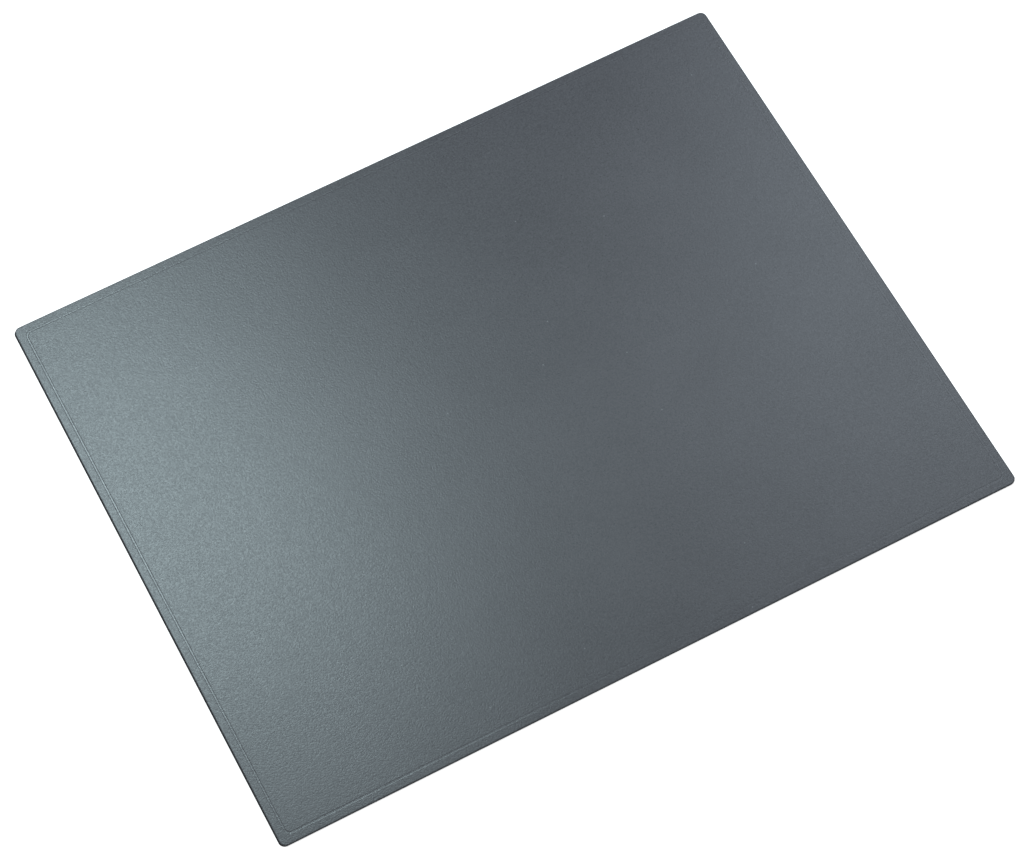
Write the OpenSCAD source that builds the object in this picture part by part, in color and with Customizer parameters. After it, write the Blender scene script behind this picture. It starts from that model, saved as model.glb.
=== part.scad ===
// Desk mat: a flat laminate of a grained cover sheet, a foam core and a
// non-slip base sheet, bonded by two films of hot-melt adhesive and die-cut
// with rounded corners. A shallow decorative groove is hot-pressed into the cover.
// The mat lies flat on the desk at z = 0, centred on the origin, with its long
// side along X and the user on the -Y side. All sizes are in millimetres.

/* [Outline] */
// Overall length of the mat along X
mat_length = 650; // [400:5:900]
// Overall depth of the mat along Y
mat_depth = 520; // [300:5:700]
// Radius of the four rounded corners
corner_radius = 5.5; // [4:0.5:20]
// How far the base sheet peeks out on the left, where it was bonded off line
base_offset = 0.8; // [0:0.1:2]

/* [Layers] */
// Thickness of the grained cover sheet
cover_thickness = 0.5; // [0.3:0.1:1]
// Thickness of each film of hot-melt adhesive
adhesive_thickness = 0.1; // [0.1:0.05:0.2]
// Thickness of the foam core
core_thickness = 0.9; // [0.8:0.1:3]
// Thickness of the non-slip base sheet
base_thickness = 0.4; // [0.2:0.1:1]
// Width and drop of the soft shoulder that the cutting die leaves on the cover
shoulder_width = 0.6; // [0.3:0.1:1.5]
shoulder_drop = 0.25; // [0.1:0.05:0.25]

/* [Groove] */
// Distance from the upper sheets' left and right edges to the groove's middle
side_margin = 7.1; // [6:0.1:40]
// Distance from the mat's front and back edges to the groove's middle
front_margin = 8; // [6:0.1:40]
// How far the pressed groove sits to the right of the upper sheets' middle
groove_offset = 0.6; // [0:0.1:2]
// Radius of the groove's corners, to the groove's middle
groove_corner_radius = 5; // [3:0.5:20]
// Width of the groove at the writing surface
groove_width = 2.5; // [1.6:0.1:4]
// Width of each of the groove's two sloping sides
groove_side = 0.75; // [0.3:0.05:0.75]
// Depth of the groove below the writing surface
groove_depth = 0.08; // [0.04:0.02:0.2]

/* [Hidden] */
$fn = 96;

// Straight steps round the cover's shoulder
shoulder_steps = 6;

// Every sheet is cut to one length, and the base's offset makes up the rest: the
// upper sheets lie this far to the right of the middle, and the base to the left
sheet_length = mat_length - base_offset;
sheet_shift = base_offset / 2;

// Heights of the faces between the layers, counted up from the desk
base_top = base_thickness;
core_bottom = base_top + adhesive_thickness;
core_top = core_bottom + core_thickness;
cover_bottom = core_top + adhesive_thickness;
cover_top = cover_bottom + cover_thickness;

// Sweeps a section round a rectangle with rounded corners. The corners' centres lie
// half_x and half_y from the middle, and the section's x counts outwards from them.
module swept_round(half_x, half_y) {
    for (side = [0, 180]) {
        rotate(side) translate([half_x, 0, 0]) straight_run(2 * half_y) children();
        rotate(side + 90) translate([half_y, 0, 0]) straight_run(2 * half_x) children();
    }
    for (corner = [[1, 1, 0], [-1, 1, 90], [-1, -1, 180], [1, -1, 270]])
        translate([corner.x * half_x, corner.y * half_y, 0])
            rotate(corner.z) rotate_extrude(angle = 90) children();
}

// A straight length of a section, along Y
module straight_run(run_length) {
    rotate([90, 0, 0]) linear_extrude(run_length, center = true) children();
}

// A whole sheet between two heights, with a square or a soft top edge
module sheet(bottom, top, soft_edge = false) {
    half_x = sheet_length / 2 - corner_radius;
    half_y = mat_depth / 2 - corner_radius;
    swept_round(half_x, half_y) rim_section(bottom, top, soft_edge);
    translate([-half_x, -half_y, bottom]) cube([2 * half_x, 2 * half_y, top - bottom]);
}

// Section of a sheet's rim, from the corners' centres out to the cut edge
module rim_section(bottom, top, soft_edge) {
    shoulder = [
        for (i = [0 : shoulder_steps])
            let (a = 90 * i / shoulder_steps)
            [
                corner_radius - shoulder_width * (1 - cos(a)),
                top - shoulder_drop * (1 - sin(a))
            ]
    ];
    polygon(concat(
        [[0, bottom], [corner_radius, bottom]],
        soft_edge ? shoulder : [[corner_radius, top]],
        [[0, top]]
    ));
}

// What the press moves out of the cover: a shallow trapezoid along the groove. Its
// sides carry on above the cover by the groove's depth, to cut its face cleanly.
module pressed_groove() {
    half_x = sheet_length / 2 - side_margin - groove_corner_radius;
    half_y = mat_depth / 2 - front_margin - groove_corner_radius;
    floor_half = groove_width / 2 - groove_side;
    mouth_half = groove_width / 2 + groove_side;
    translate([sheet_shift + groove_offset, 0, 0])
        swept_round(half_x, half_y)
            translate([groove_corner_radius, 0])
                polygon([
                    [-floor_half, cover_top - groove_depth],
                    [floor_half, cover_top - groove_depth],
                    [mouth_half, cover_top + groove_depth],
                    [-mouth_half, cover_top + groove_depth]
                ]);
}

// Grained vinyl sheet that is written on, with the groove in its face
module cover_sheet() {
    color("#47464c") difference() {
        translate([sheet_shift, 0, 0]) sheet(cover_bottom, cover_top, soft_edge = true);
        pressed_groove();
    }
}

// Hot-melt film between the cover and the core
module cover_adhesive() {
    color("#7f7d76") translate([sheet_shift, 0, 0]) sheet(core_top, cover_bottom);
}

// Closed-cell foam core that gives the soft feel
module foam_core() {
    color("#5a5e63") translate([sheet_shift, 0, 0]) sheet(core_bottom, core_top);
}

// Hot-melt film between the core and the base
module base_adhesive() {
    color("#7f7d76") translate([sheet_shift, 0, 0]) sheet(base_top, core_bottom);
}

// Non-slip sheet that grips the desk
module base_sheet() {
    color("#181a1c") translate([-sheet_shift, 0, 0]) sheet(0, base_top);
}

cover_sheet();
cover_adhesive();
foam_core();
base_adhesive();
base_sheet();
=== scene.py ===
import math

import bpy
from mathutils import Matrix, Vector


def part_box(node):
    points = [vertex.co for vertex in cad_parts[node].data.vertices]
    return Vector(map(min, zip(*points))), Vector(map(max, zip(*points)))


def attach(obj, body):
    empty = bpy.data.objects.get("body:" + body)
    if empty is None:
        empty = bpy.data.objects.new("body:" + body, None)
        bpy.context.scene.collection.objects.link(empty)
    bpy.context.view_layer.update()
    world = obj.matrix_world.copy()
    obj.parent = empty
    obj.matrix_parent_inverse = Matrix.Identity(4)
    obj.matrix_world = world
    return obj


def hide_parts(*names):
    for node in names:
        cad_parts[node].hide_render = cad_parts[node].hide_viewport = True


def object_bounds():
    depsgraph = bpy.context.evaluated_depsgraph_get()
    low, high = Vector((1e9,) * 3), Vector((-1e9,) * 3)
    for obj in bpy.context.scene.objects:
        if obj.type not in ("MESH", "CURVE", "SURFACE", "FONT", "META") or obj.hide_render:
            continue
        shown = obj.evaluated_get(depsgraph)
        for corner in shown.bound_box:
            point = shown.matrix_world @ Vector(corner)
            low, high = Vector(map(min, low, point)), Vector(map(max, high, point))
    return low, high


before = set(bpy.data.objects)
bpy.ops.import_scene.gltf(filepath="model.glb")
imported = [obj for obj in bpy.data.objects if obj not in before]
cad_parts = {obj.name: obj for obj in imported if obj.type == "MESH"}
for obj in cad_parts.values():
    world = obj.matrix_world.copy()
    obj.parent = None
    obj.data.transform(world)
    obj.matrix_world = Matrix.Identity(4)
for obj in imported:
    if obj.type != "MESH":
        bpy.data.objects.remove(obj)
cad_low, cad_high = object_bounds()

MM = 0.001

# The pressed border groove: its middle line, its round corners and its section
GROOVE_MIDDLE = Vector((1.0, 0.0, 0.0)) * MM
GROOVE_HALF_X = 317.5 * MM
GROOVE_HALF_Y = 252.0 * MM
GROOVE_RADIUS = 5.0 * MM
GROOVE_WIDTH = 2.5 * MM
GROOVE_SIDE = 0.75 * MM
GROOVE_DEPTH = 0.08 * MM
GROOVE_STEPS = 10

# Each side of the groove falls straight between two bends: the share of it that each
# bend takes up
GROOVE_BEND = 0.2

# The press bites deepest on the left: the depth's share that is left after each cut of
# the grid, going right
GROOVE_FADE = 0.92

# The outer rim, as wide as this, is left alone when the groove fades
RIM_WIDTH = 3 * MM

# Flat strips beside each bend keep the wide faces next to it flat to the eye
FLAT_STRIP = 0.3 * MM

# The outer cut: its round corners, and the soft shoulder that the knife leaves
CORNER_RADIUS = 5.5 * MM
CORNER_SEGMENTS = 12
SHOULDER_WIDTH = 0.6 * MM
SHOULDER_DROP = 0.25 * MM
SHOULDER_STEPS = 6

# The knife rubs the shoulder rougher by this much, and the shoulder's darker colour is painted
# shade; both fade out over this width
SHOULDER_ROUGHER = 0.2
SHOULDER_FADE = 0.3 * MM

# The press draws the border strip outside the groove down, so that it slopes outwards
STRIP_SAG = 0.08 * MM

# The foam draws in a little between the two skins that it is cut with
FOAM_HOLLOW = 0.12 * MM
FOAM_STEPS = 6

# The base sheet's upper edge, rounded off by the knife
BASE_EDGE = 0.1 * MM
BASE_EDGE_STEPS = 4

# A calendered sheet never lies quite flat: how deep and how wide its waves are, and how
# far above its underside they start
WAVE_DEPTH = 0.08 * MM
WAVE_WIDTH = 120 * MM
WAVE_START = 0.1 * MM

# The grid that the cover is cut along, so that its faces can wave and its groove fade,
# and how near to a cut, in metres, a point counts as lying on it
CUT_SPACING = 24 * MM
CUT_TOLERANCE = 1e-7

# Points closer than this are merged, and an edge that turns by more than this is sharp
MERGE_DISTANCE = 0.002 * MM
SHARP_ANGLE = math.radians(50)

# Dust on the cover: one place for a fleck in each square of this size, and the share of
# places that stay clean. A fleck is about 0.4 mm across, drawn at 1.2 mm so that it
# shows: solid out to one radius, and gone at the next.
DUST_SPACING = 22 * MM
DUST_CLEAN_SHARE = 0.94
DUST_SOLID_RADIUS = 0.4 * MM
DUST_OUTER_RADIUS = 0.8 * MM

# How the press changes the cover's roughness, going outwards over the groove: where each
# change starts and ends, in millimetres from the middle line, how much it is along most
# of the groove, and how much along the front, where the press is hottest. The inner side
# is stretched dull, the floor is ironed smooth, and the outer side is a little dull again,
# but along the front nearly as smooth as the floor.
GROOVE_FINISH = (
    (-1.3, -1.0, 0.10, 0.13),
    (-0.65, -0.4, -0.165, -0.16),
    (0.4, 0.65, 0.125, 0.01),
    (1.0, 1.3, -0.06, 0.02),
)

# How far short of the groove's middle line the front's finish is fully there
FRONT_FINISH_REACH = 2 * MM

# The floor lies just under the mat, so that the two never share a face. Its size is in
# metres, and its glow is a share of full white.
FLOOR_DROP = 0.2 * MM
FLOOR_SIZE = 12.0
FLOOR_GLOW = 0.75

# The pale walls of the room: how strongly they light the mat, and how they show
ROOM_LIGHT = 0.3
ROOM_SHOWN = 1.0

# The camera: its lens and sensor in millimetres, its shift in widths of the sensor, its
# direction in degrees, the point that it aims at, how far from it the camera stands, and
# how far the camera sees, in metres
LENS = 124.31
SENSOR_WIDTH = 36
SHIFT_X = -0.0390
SHIFT_Y = -0.0041
AZIMUTH = -22.186
ELEVATION = 61.581
ROLL = -6.039
AIM = Vector((23.54, -37.46, 2.0)) * MM
DISTANCE = 2852.7 * MM
VIEW_DEPTH = 30


# ---- Modelling -------------------------------------------------------------------


def start_layer(name, low, high, radius, z):
    """Lays a flat sheet with round corners at height z, and stays in edit mode."""
    bpy.ops.object.select_all(action="DESELECT")
    bpy.ops.mesh.primitive_plane_add(size=1, location=(0, 0, 0))
    piece = bpy.context.object
    piece.name = name
    piece.data.name = name
    bpy.ops.object.mode_set(mode="EDIT")
    bpy.ops.mesh.select_all(action="SELECT")
    place_outline(low, high, radius, z)
    return piece


def place_outline(low, high, radius, z):
    """Stretches the selected unit plane between two corners and rounds it off."""
    middle = (low + high) / 2
    bpy.ops.transform.resize(value=(high.x - low.x, high.y - low.y, 1))
    bpy.ops.transform.translate(value=(middle.x, middle.y, z))
    bpy.ops.mesh.bevel(offset=radius, segments=CORNER_SEGMENTS, affect="VERTICES", profile=0.5)
    bpy.ops.mesh.select_mode(type="FACE")


def raise_wall(low, high, z_low, z_high, steps=1, hollow=0.0):
    """Extrudes the selected face up into a slab, whose wall may be hollow half-way up."""
    middle = (low + high) / 2
    half_x = (high.x - low.x) / 2
    half_y = (high.y - low.y) / 2
    drawn_in = [hollow * math.sin(math.pi * i / steps) for i in range(steps + 1)]
    for i in range(steps):
        lift = (z_high - z_low) / steps
        bpy.ops.mesh.extrude_region_move(TRANSFORM_OT_translate={"value": (0, 0, lift)})
        if hollow:
            bpy.ops.transform.resize(
                value=(
                    (half_x - drawn_in[i + 1]) / (half_x - drawn_in[i]),
                    (half_y - drawn_in[i + 1]) / (half_y - drawn_in[i]),
                    1,
                ),
                center_override=(middle.x, middle.y, z_low + lift * (i + 1)),
            )


def round_rim(width, drop, steps):
    """Insets the selected cap along a quarter of an ellipse, up to its flat face."""
    for i in range(steps):
        start = math.pi / 2 * i / steps
        end = math.pi / 2 * (i + 1) / steps
        bpy.ops.mesh.inset(
            thickness=width * (math.cos(start) - math.cos(end)),
            depth=drop * (math.sin(end) - math.sin(start)),
        )
    bpy.ops.mesh.inset(thickness=FLAT_STRIP, depth=0)


def sunk(distance):
    """How deep the press sinks the sheet at a distance in from the groove's lip."""
    share = (distance / GROOVE_SIDE - GROOVE_BEND) / (1 - 2 * GROOVE_BEND)
    return GROOVE_DEPTH * max(0.0, min(1.0, share))


def press_groove(z):
    """Puts a cap at height z with the groove pressed into it over an open rim."""
    bpy.ops.mesh.select_all(action="DESELECT")
    bpy.ops.mesh.primitive_plane_add(size=1, location=(0, 0, 0))
    reach = GROOVE_WIDTH / 2 + FLAT_STRIP
    half = Vector((GROOVE_HALF_X + reach, GROOVE_HALF_Y + reach, 0))
    place_outline(GROOVE_MIDDLE - half, GROOVE_MIDDLE + half, GROOVE_RADIUS + reach, z)
    step = GROOVE_SIDE / GROOVE_STEPS
    slope = [sunk(step * (i + 1)) - sunk(step * i) for i in range(GROOVE_STEPS)]
    bpy.ops.mesh.inset(thickness=FLAT_STRIP, depth=0)
    for fall in slope:
        bpy.ops.mesh.inset(thickness=step, depth=-fall)
    bpy.ops.mesh.inset(thickness=GROOVE_WIDTH - 2 * GROOVE_SIDE, depth=0)
    for fall in reversed(slope):
        bpy.ops.mesh.inset(thickness=step, depth=fall)
    bpy.ops.mesh.inset(thickness=FLAT_STRIP, depth=0)
    bpy.ops.mesh.select_mode(type="EDGE")
    bpy.ops.mesh.select_all(action="DESELECT")
    bpy.ops.mesh.select_non_manifold(
        extend=False,
        use_wire=False,
        use_boundary=True,
        use_multi_face=False,
        use_non_contiguous=False,
        use_verts=False,
    )
    bpy.ops.mesh.bridge_edge_loops()


def cut_grid(low, high):
    """Cuts the whole piece along and across."""
    for axis in (Vector((1, 0, 0)), Vector((0, 1, 0))):
        reach = (high - low).dot(axis) / 2 - 2 * CORNER_RADIUS
        count = math.floor(reach / CUT_SPACING)
        for i in range(-count, count + 1):
            bpy.ops.mesh.select_all(action="SELECT")
            bpy.ops.mesh.bisect(
                plane_co=axis * CUT_SPACING * i,
                plane_no=axis,
                threshold=CUT_TOLERANCE,
            )


def fade_groove(piece, low, high):
    """Lifts the groove towards the face, a little more at every cut to the right."""
    count = math.floor((high.x - low.x) / 2 / CUT_SPACING)
    for i in range(-count, count + 1):
        bpy.ops.mesh.select_mode(type="VERT")
        bpy.ops.mesh.select_all(action="DESELECT")
        bpy.ops.object.mode_set(mode="OBJECT")
        for point in piece.data.vertices:
            inside_x = abs(point.co.x) < high.x - RIM_WIDTH
            inside_y = abs(point.co.y) < high.y - RIM_WIDTH
            sunken = high.z - 2 * GROOVE_DEPTH < point.co.z < high.z
            to_the_right = point.co.x > CUT_SPACING * (i - 0.5)
            point.select = inside_x and inside_y and sunken and to_the_right
        bpy.ops.object.mode_set(mode="EDIT")
        bpy.ops.transform.resize(value=(1, 1, GROOVE_FADE), center_override=(0, 0, high.z))


def wave_top(piece, above):
    """Lets the points above a height sink in broad, shallow waves."""
    bpy.ops.object.mode_set(mode="OBJECT")
    group = piece.vertex_groups.new(name="top")
    upper = [point.index for point in piece.data.vertices if point.co.z > above]
    group.add(upper, 1.0, "REPLACE")
    waves = bpy.data.textures.new("calender_waves", "CLOUDS")
    waves.noise_scale = WAVE_WIDTH
    waves.noise_depth = 1
    modifier = piece.modifiers.new("waves", "DISPLACE")
    modifier.texture = waves
    modifier.texture_coords = "LOCAL"
    modifier.direction = "Z"
    modifier.vertex_group = "top"
    modifier.strength = WAVE_DEPTH
    modifier.mid_level = 1.0
    bpy.ops.object.modifier_apply(modifier=modifier.name)
    piece.vertex_groups.clear()


def finish_piece(piece):
    """Merges doubles, turns the faces outwards and smooths all but the sharp edges."""
    bpy.ops.object.mode_set(mode="EDIT")
    bpy.ops.mesh.select_all(action="SELECT")
    bpy.ops.mesh.remove_doubles(threshold=MERGE_DISTANCE)
    bpy.ops.mesh.normals_make_consistent(inside=False)
    bpy.ops.object.mode_set(mode="OBJECT")
    bpy.ops.object.shade_smooth_by_angle(angle=SHARP_ANGLE)
    return piece


# ---- The pieces --------------------------------------------------------------------


def make_cover():
    """The cover sheet, with its soft shoulder and the groove pressed into its face."""
    low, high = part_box("cover_sheet")
    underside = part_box("cover_adhesive")[1].z
    cover = start_layer("grained_cover", low, high, CORNER_RADIUS, underside)
    raise_wall(low, high, underside, high.z - STRIP_SAG - SHOULDER_DROP)
    bpy.ops.mesh.normals_make_consistent(inside=False)
    round_rim(SHOULDER_WIDTH, SHOULDER_DROP, SHOULDER_STEPS)
    bpy.ops.mesh.delete(type="ONLY_FACE")
    press_groove(high.z)
    cut_grid(low, high)
    fade_groove(cover, low, high)
    wave_top(cover, above=underside + WAVE_START)
    return finish_piece(cover)


def make_foam_core():
    """The foam: a slab whose cut edge draws in a little half-way up."""
    low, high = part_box("foam_core")
    core = start_layer("foam_core_pad", low, high, CORNER_RADIUS, low.z)
    raise_wall(low, high, low.z, high.z, FOAM_STEPS, FOAM_HOLLOW)
    return finish_piece(core)


def make_base():
    """The non-slip base: a thin sheet with its upper edge rounded off."""
    low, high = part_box("base_sheet")
    base = start_layer("non_slip_sheet", low, high, CORNER_RADIUS, low.z)
    raise_wall(low, high, low.z, high.z - BASE_EDGE)
    bpy.ops.mesh.normals_make_consistent(inside=False)
    round_rim(BASE_EDGE, BASE_EDGE, BASE_EDGE_STEPS)
    return finish_piece(base)


def make_floor():
    """A wide sheet of studio paper under the mat."""
    bpy.ops.object.select_all(action="DESELECT")
    bpy.ops.mesh.primitive_plane_add(size=FLOOR_SIZE, location=(0, 0, cad_low.z - FLOOR_DROP))
    floor = bpy.context.object
    floor.name = "studio_floor"
    return floor


# ---- Materials ---------------------------------------------------------------------


def srgb(hex_colour):
    """Turns an sRGB hex colour into linear RGBA, opaque."""
    channels = [int(hex_colour[i : i + 2], 16) / 255 for i in (1, 3, 5)]
    linear = [c / 12.92 if c <= 0.04045 else ((c + 0.055) / 1.055) ** 2.4 for c in channels]
    return (*linear, 1.0)


def new_material(name):
    """An empty node material, and its tree."""
    material = bpy.data.materials.new(name)
    material.use_nodes = True
    material.node_tree.nodes.clear()
    return material, material.node_tree


def add(tree, kind, settings=None, links=None, **properties):
    """Adds a node: properties on the node, settings on its sockets, and links to its
    sockets from (node, output) pairs."""
    node = tree.nodes.new(kind)
    for key, value in properties.items():
        setattr(node, key, value)
    for key, value in (settings or {}).items():
        node.inputs[key].default_value = value
    for key, (source, output) in (links or {}).items():
        tree.links.new(source.outputs[output], node.inputs[key])
    return node


def set_ramp(node, *stops):
    """Gives a colour ramp its stops, as (position, hex colour) pairs."""
    ramp = node.color_ramp
    while len(ramp.elements) < len(stops):
        ramp.elements.new(0.5)
    for element, (position, colour) in zip(ramp.elements, stops):
        element.position = position
        element.color = srgb(colour)


def beyond_outline(tree, place, middle, half_x, half_y, radius):
    """The distance beyond a rectangle with round corners, in metres. Inside it the
    distance is negative, and no less than minus the corners' radius."""
    corner = Vector((half_x - radius, half_y - radius, 0))
    flat = add(
        tree,
        "ShaderNodeVectorMath",
        {1: (1, 1, 0), 2: (-middle.x, -middle.y, 0)},
        {0: (place, "Object")},
        operation="MULTIPLY_ADD",
    )
    quarter = add(tree, "ShaderNodeVectorMath", links={0: (flat, "Vector")}, operation="ABSOLUTE")
    beyond = add(
        tree,
        "ShaderNodeVectorMath",
        {1: corner},
        {0: (quarter, "Vector")},
        operation="SUBTRACT",
    )
    outside = add(
        tree,
        "ShaderNodeVectorMath",
        {1: (0, 0, 0)},
        {0: (beyond, "Vector")},
        operation="MAXIMUM",
    )
    reach = add(tree, "ShaderNodeVectorMath", links={0: (outside, "Vector")}, operation="LENGTH")
    return add(
        tree,
        "ShaderNodeMath",
        {1: radius},
        {0: (reach, "Value")},
        operation="SUBTRACT",
    )


def on_shoulder(tree, place):
    """How much of the cover's soft shoulder is here, from 0 on the face to 1 on the edge."""
    low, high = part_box("cover_sheet")
    half = (high - low) / 2
    beyond = beyond_outline(tree, place, (low + high) / 2, half.x, half.y, CORNER_RADIUS)
    return add(
        tree,
        "ShaderNodeMapRange",
        {"From Min": -SHOULDER_WIDTH - SHOULDER_FADE, "From Max": -SHOULDER_WIDTH},
        {"Value": (beyond, "Value")},
    )


def with_dust(tree, place, colour):
    """A colour with a few flecks of dust on it, pale lint for most and dark crumbs for
    some."""
    flecks = add(
        tree,
        "ShaderNodeTexVoronoi",
        {"Scale": 1 / DUST_SPACING},
        {"Vector": (place, "Object")},
        voronoi_dimensions="2D",
    )
    chance = add(tree, "ShaderNodeSeparateColor", links={"Color": (flecks, "Color")})
    here = add(
        tree,
        "ShaderNodeMapRange",
        {
            "From Min": DUST_OUTER_RADIUS / DUST_SPACING,
            "From Max": DUST_SOLID_RADIUS / DUST_SPACING,
        },
        {"Value": (flecks, "Distance")},
    )
    kept = add(
        tree,
        "ShaderNodeMath",
        {1: DUST_CLEAN_SHARE},
        {0: (chance, "Red")},
        operation="GREATER_THAN",
    )
    share = add(
        tree,
        "ShaderNodeMath",
        links={0: (here, "Result"), 1: (kept, "Value")},
        operation="MULTIPLY",
    )
    tone = add(tree, "ShaderNodeValToRGB", links={"Fac": (chance, "Green")})
    set_ramp(tone, (0.3, "#26262a"), (0.35, "#76777c"))
    return add(
        tree,
        "ShaderNodeMixRGB",
        links={"Fac": (share, "Value"), "Color1": (colour, "Color"), "Color2": (tone, "Color")},
    )


def grained_vinyl():
    """Calendered PVC sheet with a fine matt grain. The grain spreads a light into a soft
    sheen that sparkles a little. Along the groove the hot press irons the sheet smooth in
    some places and stretches it dull in others, which shows as thin bright and dark lines."""
    material, tree = new_material("calendered_grained_vinyl")
    place = add(tree, "ShaderNodeTexCoord")
    # Grain is about 0.4 mm on the real sheet, and drawn at 1.2 mm so that it shows
    grain = add(
        tree,
        "ShaderNodeTexNoise",
        {"Scale": 1 / (1.2 * MM), "Detail": 1.0, "Roughness": 0.6},
        {"Vector": (place, "Object")},
    )
    # Specks in the pigment, drawn a little coarser than the grain so that they show, over
    # broad faint clouds
    speck = add(
        tree,
        "ShaderNodeTexNoise",
        {"Scale": 1 / (1.6 * MM), "Detail": 2.0},
        {"Vector": (place, "Object")},
    )
    cloud = add(
        tree,
        "ShaderNodeTexNoise",
        {"Scale": 1 / (90 * MM), "Detail": 2.0},
        {"Vector": (place, "Object")},
    )
    pigment = add(
        tree,
        "ShaderNodeMix",
        {"Factor": 0.25},
        {"A": (speck, "Fac"), "B": (cloud, "Fac")},
    )
    colour = add(tree, "ShaderNodeValToRGB", links={"Fac": (pigment, "Result")})
    set_ramp(colour, (0.35, "#424147"), (0.65, "#525157"))
    dusty = with_dust(tree, place, colour)
    # The knife rubs the shoulder dull; its darker colour there is painted shade along the cut
    # edge
    shoulder = on_shoulder(tree, place)
    shade = add(
        tree,
        "ShaderNodeMixRGB",
        {"Color2": srgb("#414046")},
        {"Fac": (shoulder, "Result"), "Color1": (dusty, "Color")},
    )
    matt = add(
        tree,
        "ShaderNodeMapRange",
        {"From Min": 0.2, "From Max": 0.8, "To Min": 0.25, "To Max": 0.38},
        {"Value": (grain, "Fac")},
    )
    beyond = beyond_outline(
        tree, place, GROOVE_MIDDLE, GROOVE_HALF_X, GROOVE_HALF_Y, GROOVE_RADIUS
    )
    # The press is hottest along the front, at the low end of Y
    spot = add(tree, "ShaderNodeSeparateXYZ", links={"Vector": (place, "Object")})
    in_front = add(
        tree,
        "ShaderNodeMapRange",
        {
            "From Min": GROOVE_RADIUS - GROOVE_HALF_Y,
            "From Max": FRONT_FINISH_REACH - GROOVE_HALF_Y,
        },
        {"Value": (spot, "Y")},
    )
    gloss = matt
    for start, end, change, front_change in GROOVE_FINISH:
        amount = add(
            tree,
            "ShaderNodeMapRange",
            {"To Min": change, "To Max": front_change},
            {"Value": (in_front, "Result")},
        )
        band = add(
            tree,
            "ShaderNodeMapRange",
            {"From Min": start * MM, "From Max": end * MM},
            {"Value": (beyond, "Value"), "To Max": (amount, "Result")},
        )
        gloss = add(
            tree,
            "ShaderNodeMath",
            links={0: (band, "Result"), 1: (gloss, 0)},
            operation="ADD",
        )
    rubbed = add(
        tree,
        "ShaderNodeMath",
        {1: SHOULDER_ROUGHER},
        {0: (shoulder, "Result"), 2: (gloss, 0)},
        operation="MULTIPLY_ADD",
    )
    bump = add(
        tree,
        "ShaderNodeBump",
        {"Strength": 1.0, "Distance": 0.085 * MM},
        {"Height": (grain, "Fac")},
    )
    shader = add(
        tree,
        "ShaderNodeBsdfPrincipled",
        {"IOR": 1.5},
        {
            "Base Color": (shade, "Color"),
            "Roughness": (rubbed, "Value"),
            "Normal": (bump, "Normal"),
        },
    )
    add(tree, "ShaderNodeOutputMaterial", links={"Surface": (shader, "BSDF")})
    return material


def closed_cell_foam():
    """Cross-linked polyethylene foam, cut with a knife: dull, with fine pores."""
    material, tree = new_material("closed_cell_foam")
    place = add(tree, "ShaderNodeTexCoord")
    # Cells are about 0.15 mm across, drawn at 0.3 mm so that they show
    cells = add(
        tree,
        "ShaderNodeTexVoronoi",
        {"Scale": 1 / (0.3 * MM)},
        {"Vector": (place, "Object")},
    )
    colour = add(tree, "ShaderNodeValToRGB", links={"Fac": (cells, "Distance")})
    set_ramp(colour, (0.1, "#53575b"), (0.6, "#60656a"))
    bump = add(
        tree,
        "ShaderNodeBump",
        {"Strength": 0.5, "Distance": 0.04 * MM},
        {"Height": (cells, "Distance")},
    )
    shader = add(
        tree,
        "ShaderNodeBsdfPrincipled",
        {"IOR": 1.5, "Roughness": 0.85},
        {"Base Color": (colour, "Color"), "Normal": (bump, "Normal")},
    )
    add(tree, "ShaderNodeOutputMaterial", links={"Surface": (shader, "BSDF")})
    return material


def non_slip_rubber():
    """Foamed rubber sheet: near black and dull, with a fine waffle that grips. Where its edge
    shows past the cover, its near black is painted shade: the dark line along the mat's left
    edge.
    """
    material, tree = new_material("non_slip_rubber")
    place = add(tree, "ShaderNodeTexCoord")
    # The waffle's dots stand 1.6 mm apart
    dots = add(
        tree,
        "ShaderNodeTexVoronoi",
        {"Scale": 1 / (1.6 * MM), "Randomness": 0.0},
        {"Vector": (place, "Object")},
    )
    # Pores are about 0.5 mm apart
    pores = add(
        tree,
        "ShaderNodeTexNoise",
        {"Scale": 1 / (0.5 * MM), "Detail": 2.0},
        {"Vector": (place, "Object")},
    )
    colour = add(tree, "ShaderNodeValToRGB", links={"Fac": (pores, "Fac")})
    set_ramp(colour, (0.35, "#141617"), (0.65, "#1c1e20"))
    waffle = add(
        tree,
        "ShaderNodeBump",
        {"Strength": 1.0, "Distance": 0.5 * MM},
        {"Height": (dots, "Distance")},
    )
    bump = add(
        tree,
        "ShaderNodeBump",
        {"Strength": 0.3, "Distance": 0.05 * MM},
        {"Height": (pores, "Fac"), "Normal": (waffle, "Normal")},
    )
    shader = add(
        tree,
        "ShaderNodeBsdfPrincipled",
        {"IOR": 1.5, "Roughness": 0.8},
        {"Base Color": (colour, "Color"), "Normal": (bump, "Normal")},
    )
    add(tree, "ShaderNodeOutputMaterial", links={"Surface": (shader, "BSDF")})
    return material


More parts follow.
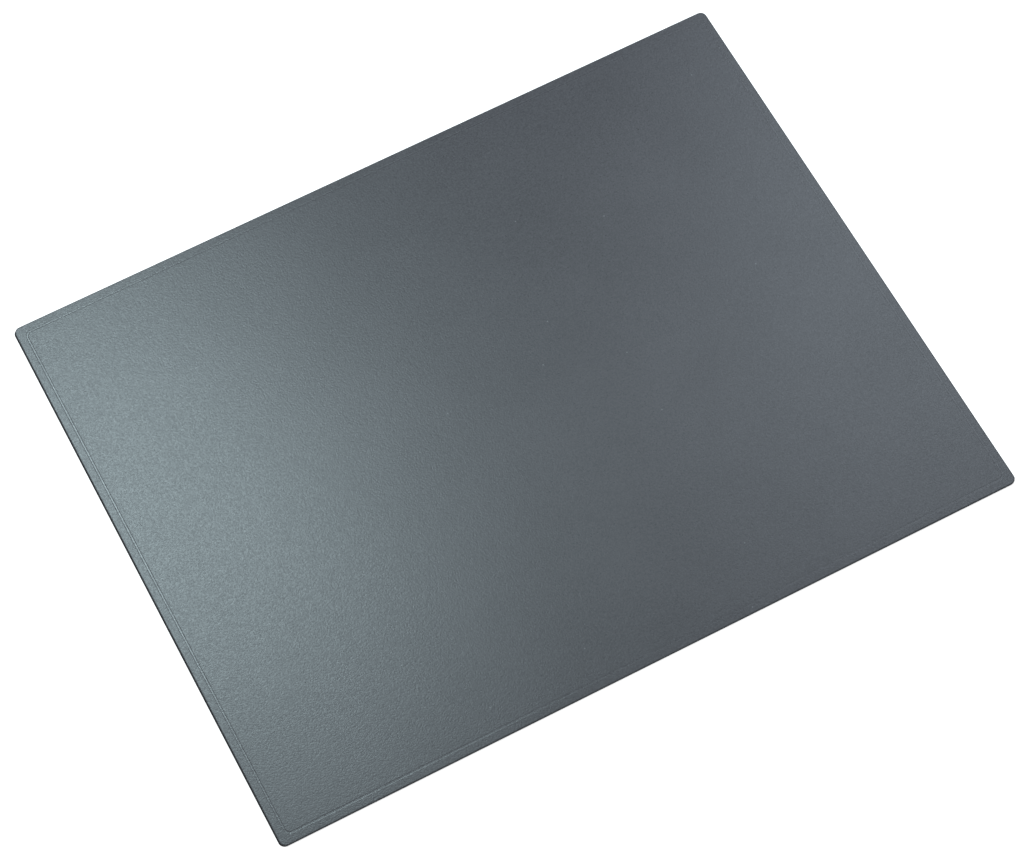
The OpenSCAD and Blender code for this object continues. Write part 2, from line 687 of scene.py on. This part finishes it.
def hot_melt_film():
    """Hot-melt adhesive film: smoky and slightly glossy where the knife cut it."""
    material, tree = new_material("cast_hot_melt_film")
    place = add(tree, "ShaderNodeTexCoord")
    # Flow marks lie about 2 mm apart
    flow = add(
        tree,
        "ShaderNodeTexNoise",
        {"Scale": 1 / (2 * MM), "Detail": 2.0},
        {"Vector": (place, "Object")},
    )
    colour = add(tree, "ShaderNodeValToRGB", links={"Fac": (flow, "Fac")})
    set_ramp(colour, (0.3, "#77766f"), (0.7, "#86857d"))
    gloss = add(
        tree,
        "ShaderNodeMapRange",
        {"From Min": 0.3, "From Max": 0.7, "To Min": 0.35, "To Max": 0.5},
        {"Value": (flow, "Fac")},
    )
    shader = add(
        tree,
        "ShaderNodeBsdfPrincipled",
        {"IOR": 1.48},
        {"Base Color": (colour, "Color"), "Roughness": (gloss, "Result")},
    )
    add(tree, "ShaderNodeOutputMaterial", links={"Surface": (shader, "BSDF")})
    return material


def studio_paper():
    """Matt white paper under the mat. It glows a little to the camera alone, so that it
    shows white at a plain light level and still takes the mat's shadow."""
    material, tree = new_material("white_studio_paper")
    paper = add(tree, "ShaderNodeBsdfDiffuse", {"Color": srgb("#f2f2f2")})
    path = add(tree, "ShaderNodeLightPath")
    glow_level = add(
        tree,
        "ShaderNodeMath",
        {1: FLOOR_GLOW},
        {0: (path, "Is Camera Ray")},
        operation="MULTIPLY",
    )
    glow = add(
        tree,
        "ShaderNodeEmission",
        {"Color": (1, 1, 1, 1)},
        {"Strength": (glow_level, "Value")},
    )
    both = add(tree, "ShaderNodeAddShader", links={0: (paper, "BSDF"), 1: (glow, "Emission")})
    add(tree, "ShaderNodeOutputMaterial", links={"Surface": (both, "Shader")})
    return material


def dress(piece, material):
    """Gives a piece one material all over."""
    piece.data.materials.clear()
    piece.data.materials.append(material)


# ---- Light and camera --------------------------------------------------------------


def add_softbox(name, place, width, height, turn, power, colour):
    """A rectangular softbox that faces the middle of the mat. Its place and sides are in
    metres, its turn in radians and its power in watts."""
    light = bpy.data.lights.new(name, "AREA")
    light.shape = "RECTANGLE"
    light.size = width
    light.size_y = height
    light.energy = power
    light.color = srgb(colour)[:3]
    softbox = bpy.data.objects.new(name, light)
    bpy.context.scene.collection.objects.link(softbox)
    back = Vector(place).normalized()
    across = Vector((0, 0, 1)).cross(back).normalized()
    facing = Matrix((across, back.cross(across), back)).transposed()
    facing = facing @ Matrix.Rotation(turn, 3, "Z")
    softbox.matrix_world = Matrix.Translation(place) @ facing.to_4x4()
    softbox.visible_camera = False


def light_studio():
    """A soft window high behind the mat, a weak one to the right, and pale walls."""
    add_softbox(
        "window_back",
        place=(-0.185, 1.072, 1.886),
        width=0.447,
        height=0.777,
        turn=0.262,
        power=18.0,
        colour="#e2fbff",
    )
    add_softbox(
        "window_right",
        place=(0.804, 0.556, 1.2),
        width=0.667,
        height=0.855,
        turn=0.264,
        power=5.6,
        colour="#e5f5ff",
    )
    world = bpy.data.worlds.new("pale_room")
    world.use_nodes = True
    world.node_tree.nodes.clear()
    tree = world.node_tree
    path = add(tree, "ShaderNodeLightPath")
    level = add(
        tree,
        "ShaderNodeMapRange",
        {"To Min": ROOM_LIGHT, "To Max": ROOM_SHOWN},
        {"Value": (path, "Is Camera Ray")},
    )
    room = add(
        tree,
        "ShaderNodeBackground",
        {"Color": (1, 1, 1, 1)},
        {"Strength": (level, "Result")},
    )
    add(tree, "ShaderNodeOutputWorld", links={"Surface": (room, "Background")})
    bpy.context.scene.world = world


def place_camera():
    """Looks down on the mat from its near left, with the mat turned in the frame."""
    camera = bpy.data.cameras.new("camera")
    camera.lens = LENS
    camera.shift_x = SHIFT_X
    camera.shift_y = SHIFT_Y
    camera.sensor_width = SENSOR_WIDTH
    camera.clip_end = VIEW_DEPTH
    holder = bpy.data.objects.new("camera", camera)
    bpy.context.scene.collection.objects.link(holder)
    azimuth, elevation, roll = (math.radians(angle) for angle in (AZIMUTH, ELEVATION, ROLL))
    back = Vector(
        (
            math.sin(azimuth) * math.cos(elevation),
            -math.cos(azimuth) * math.cos(elevation),
            math.sin(elevation),
        )
    )
    right = Vector((0, 0, 1)).cross(back).normalized()
    facing = Matrix((right, back.cross(right), back)).transposed()
    facing = facing @ Matrix.Rotation(roll, 3, "Z")
    holder.matrix_world = Matrix.Translation(AIM + back * DISTANCE) @ facing.to_4x4()
    bpy.context.scene.camera = holder


# ---- Putting it together -------------------------------------------------------------


place_camera()
light_studio()

cover = make_cover()
core = make_foam_core()
base = make_base()
floor = make_floor()

dress(cover, grained_vinyl())
dress(core, closed_cell_foam())
dress(base, non_slip_rubber())
dress(floor, studio_paper())
film = hot_melt_film()
for node in ("cover_adhesive", "base_adhesive"):
    dress(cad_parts[node], film)

for piece, node, slot in (
    (cover, "cover_sheet", "cover_vinyl"),
    (core, "foam_core", "core_foam"),
    (base, "base_sheet", "non_slip_base"),
):
    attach(piece, "root")
    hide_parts(node)

bpy.context.scene.view_settings.view_transform = "Standard"
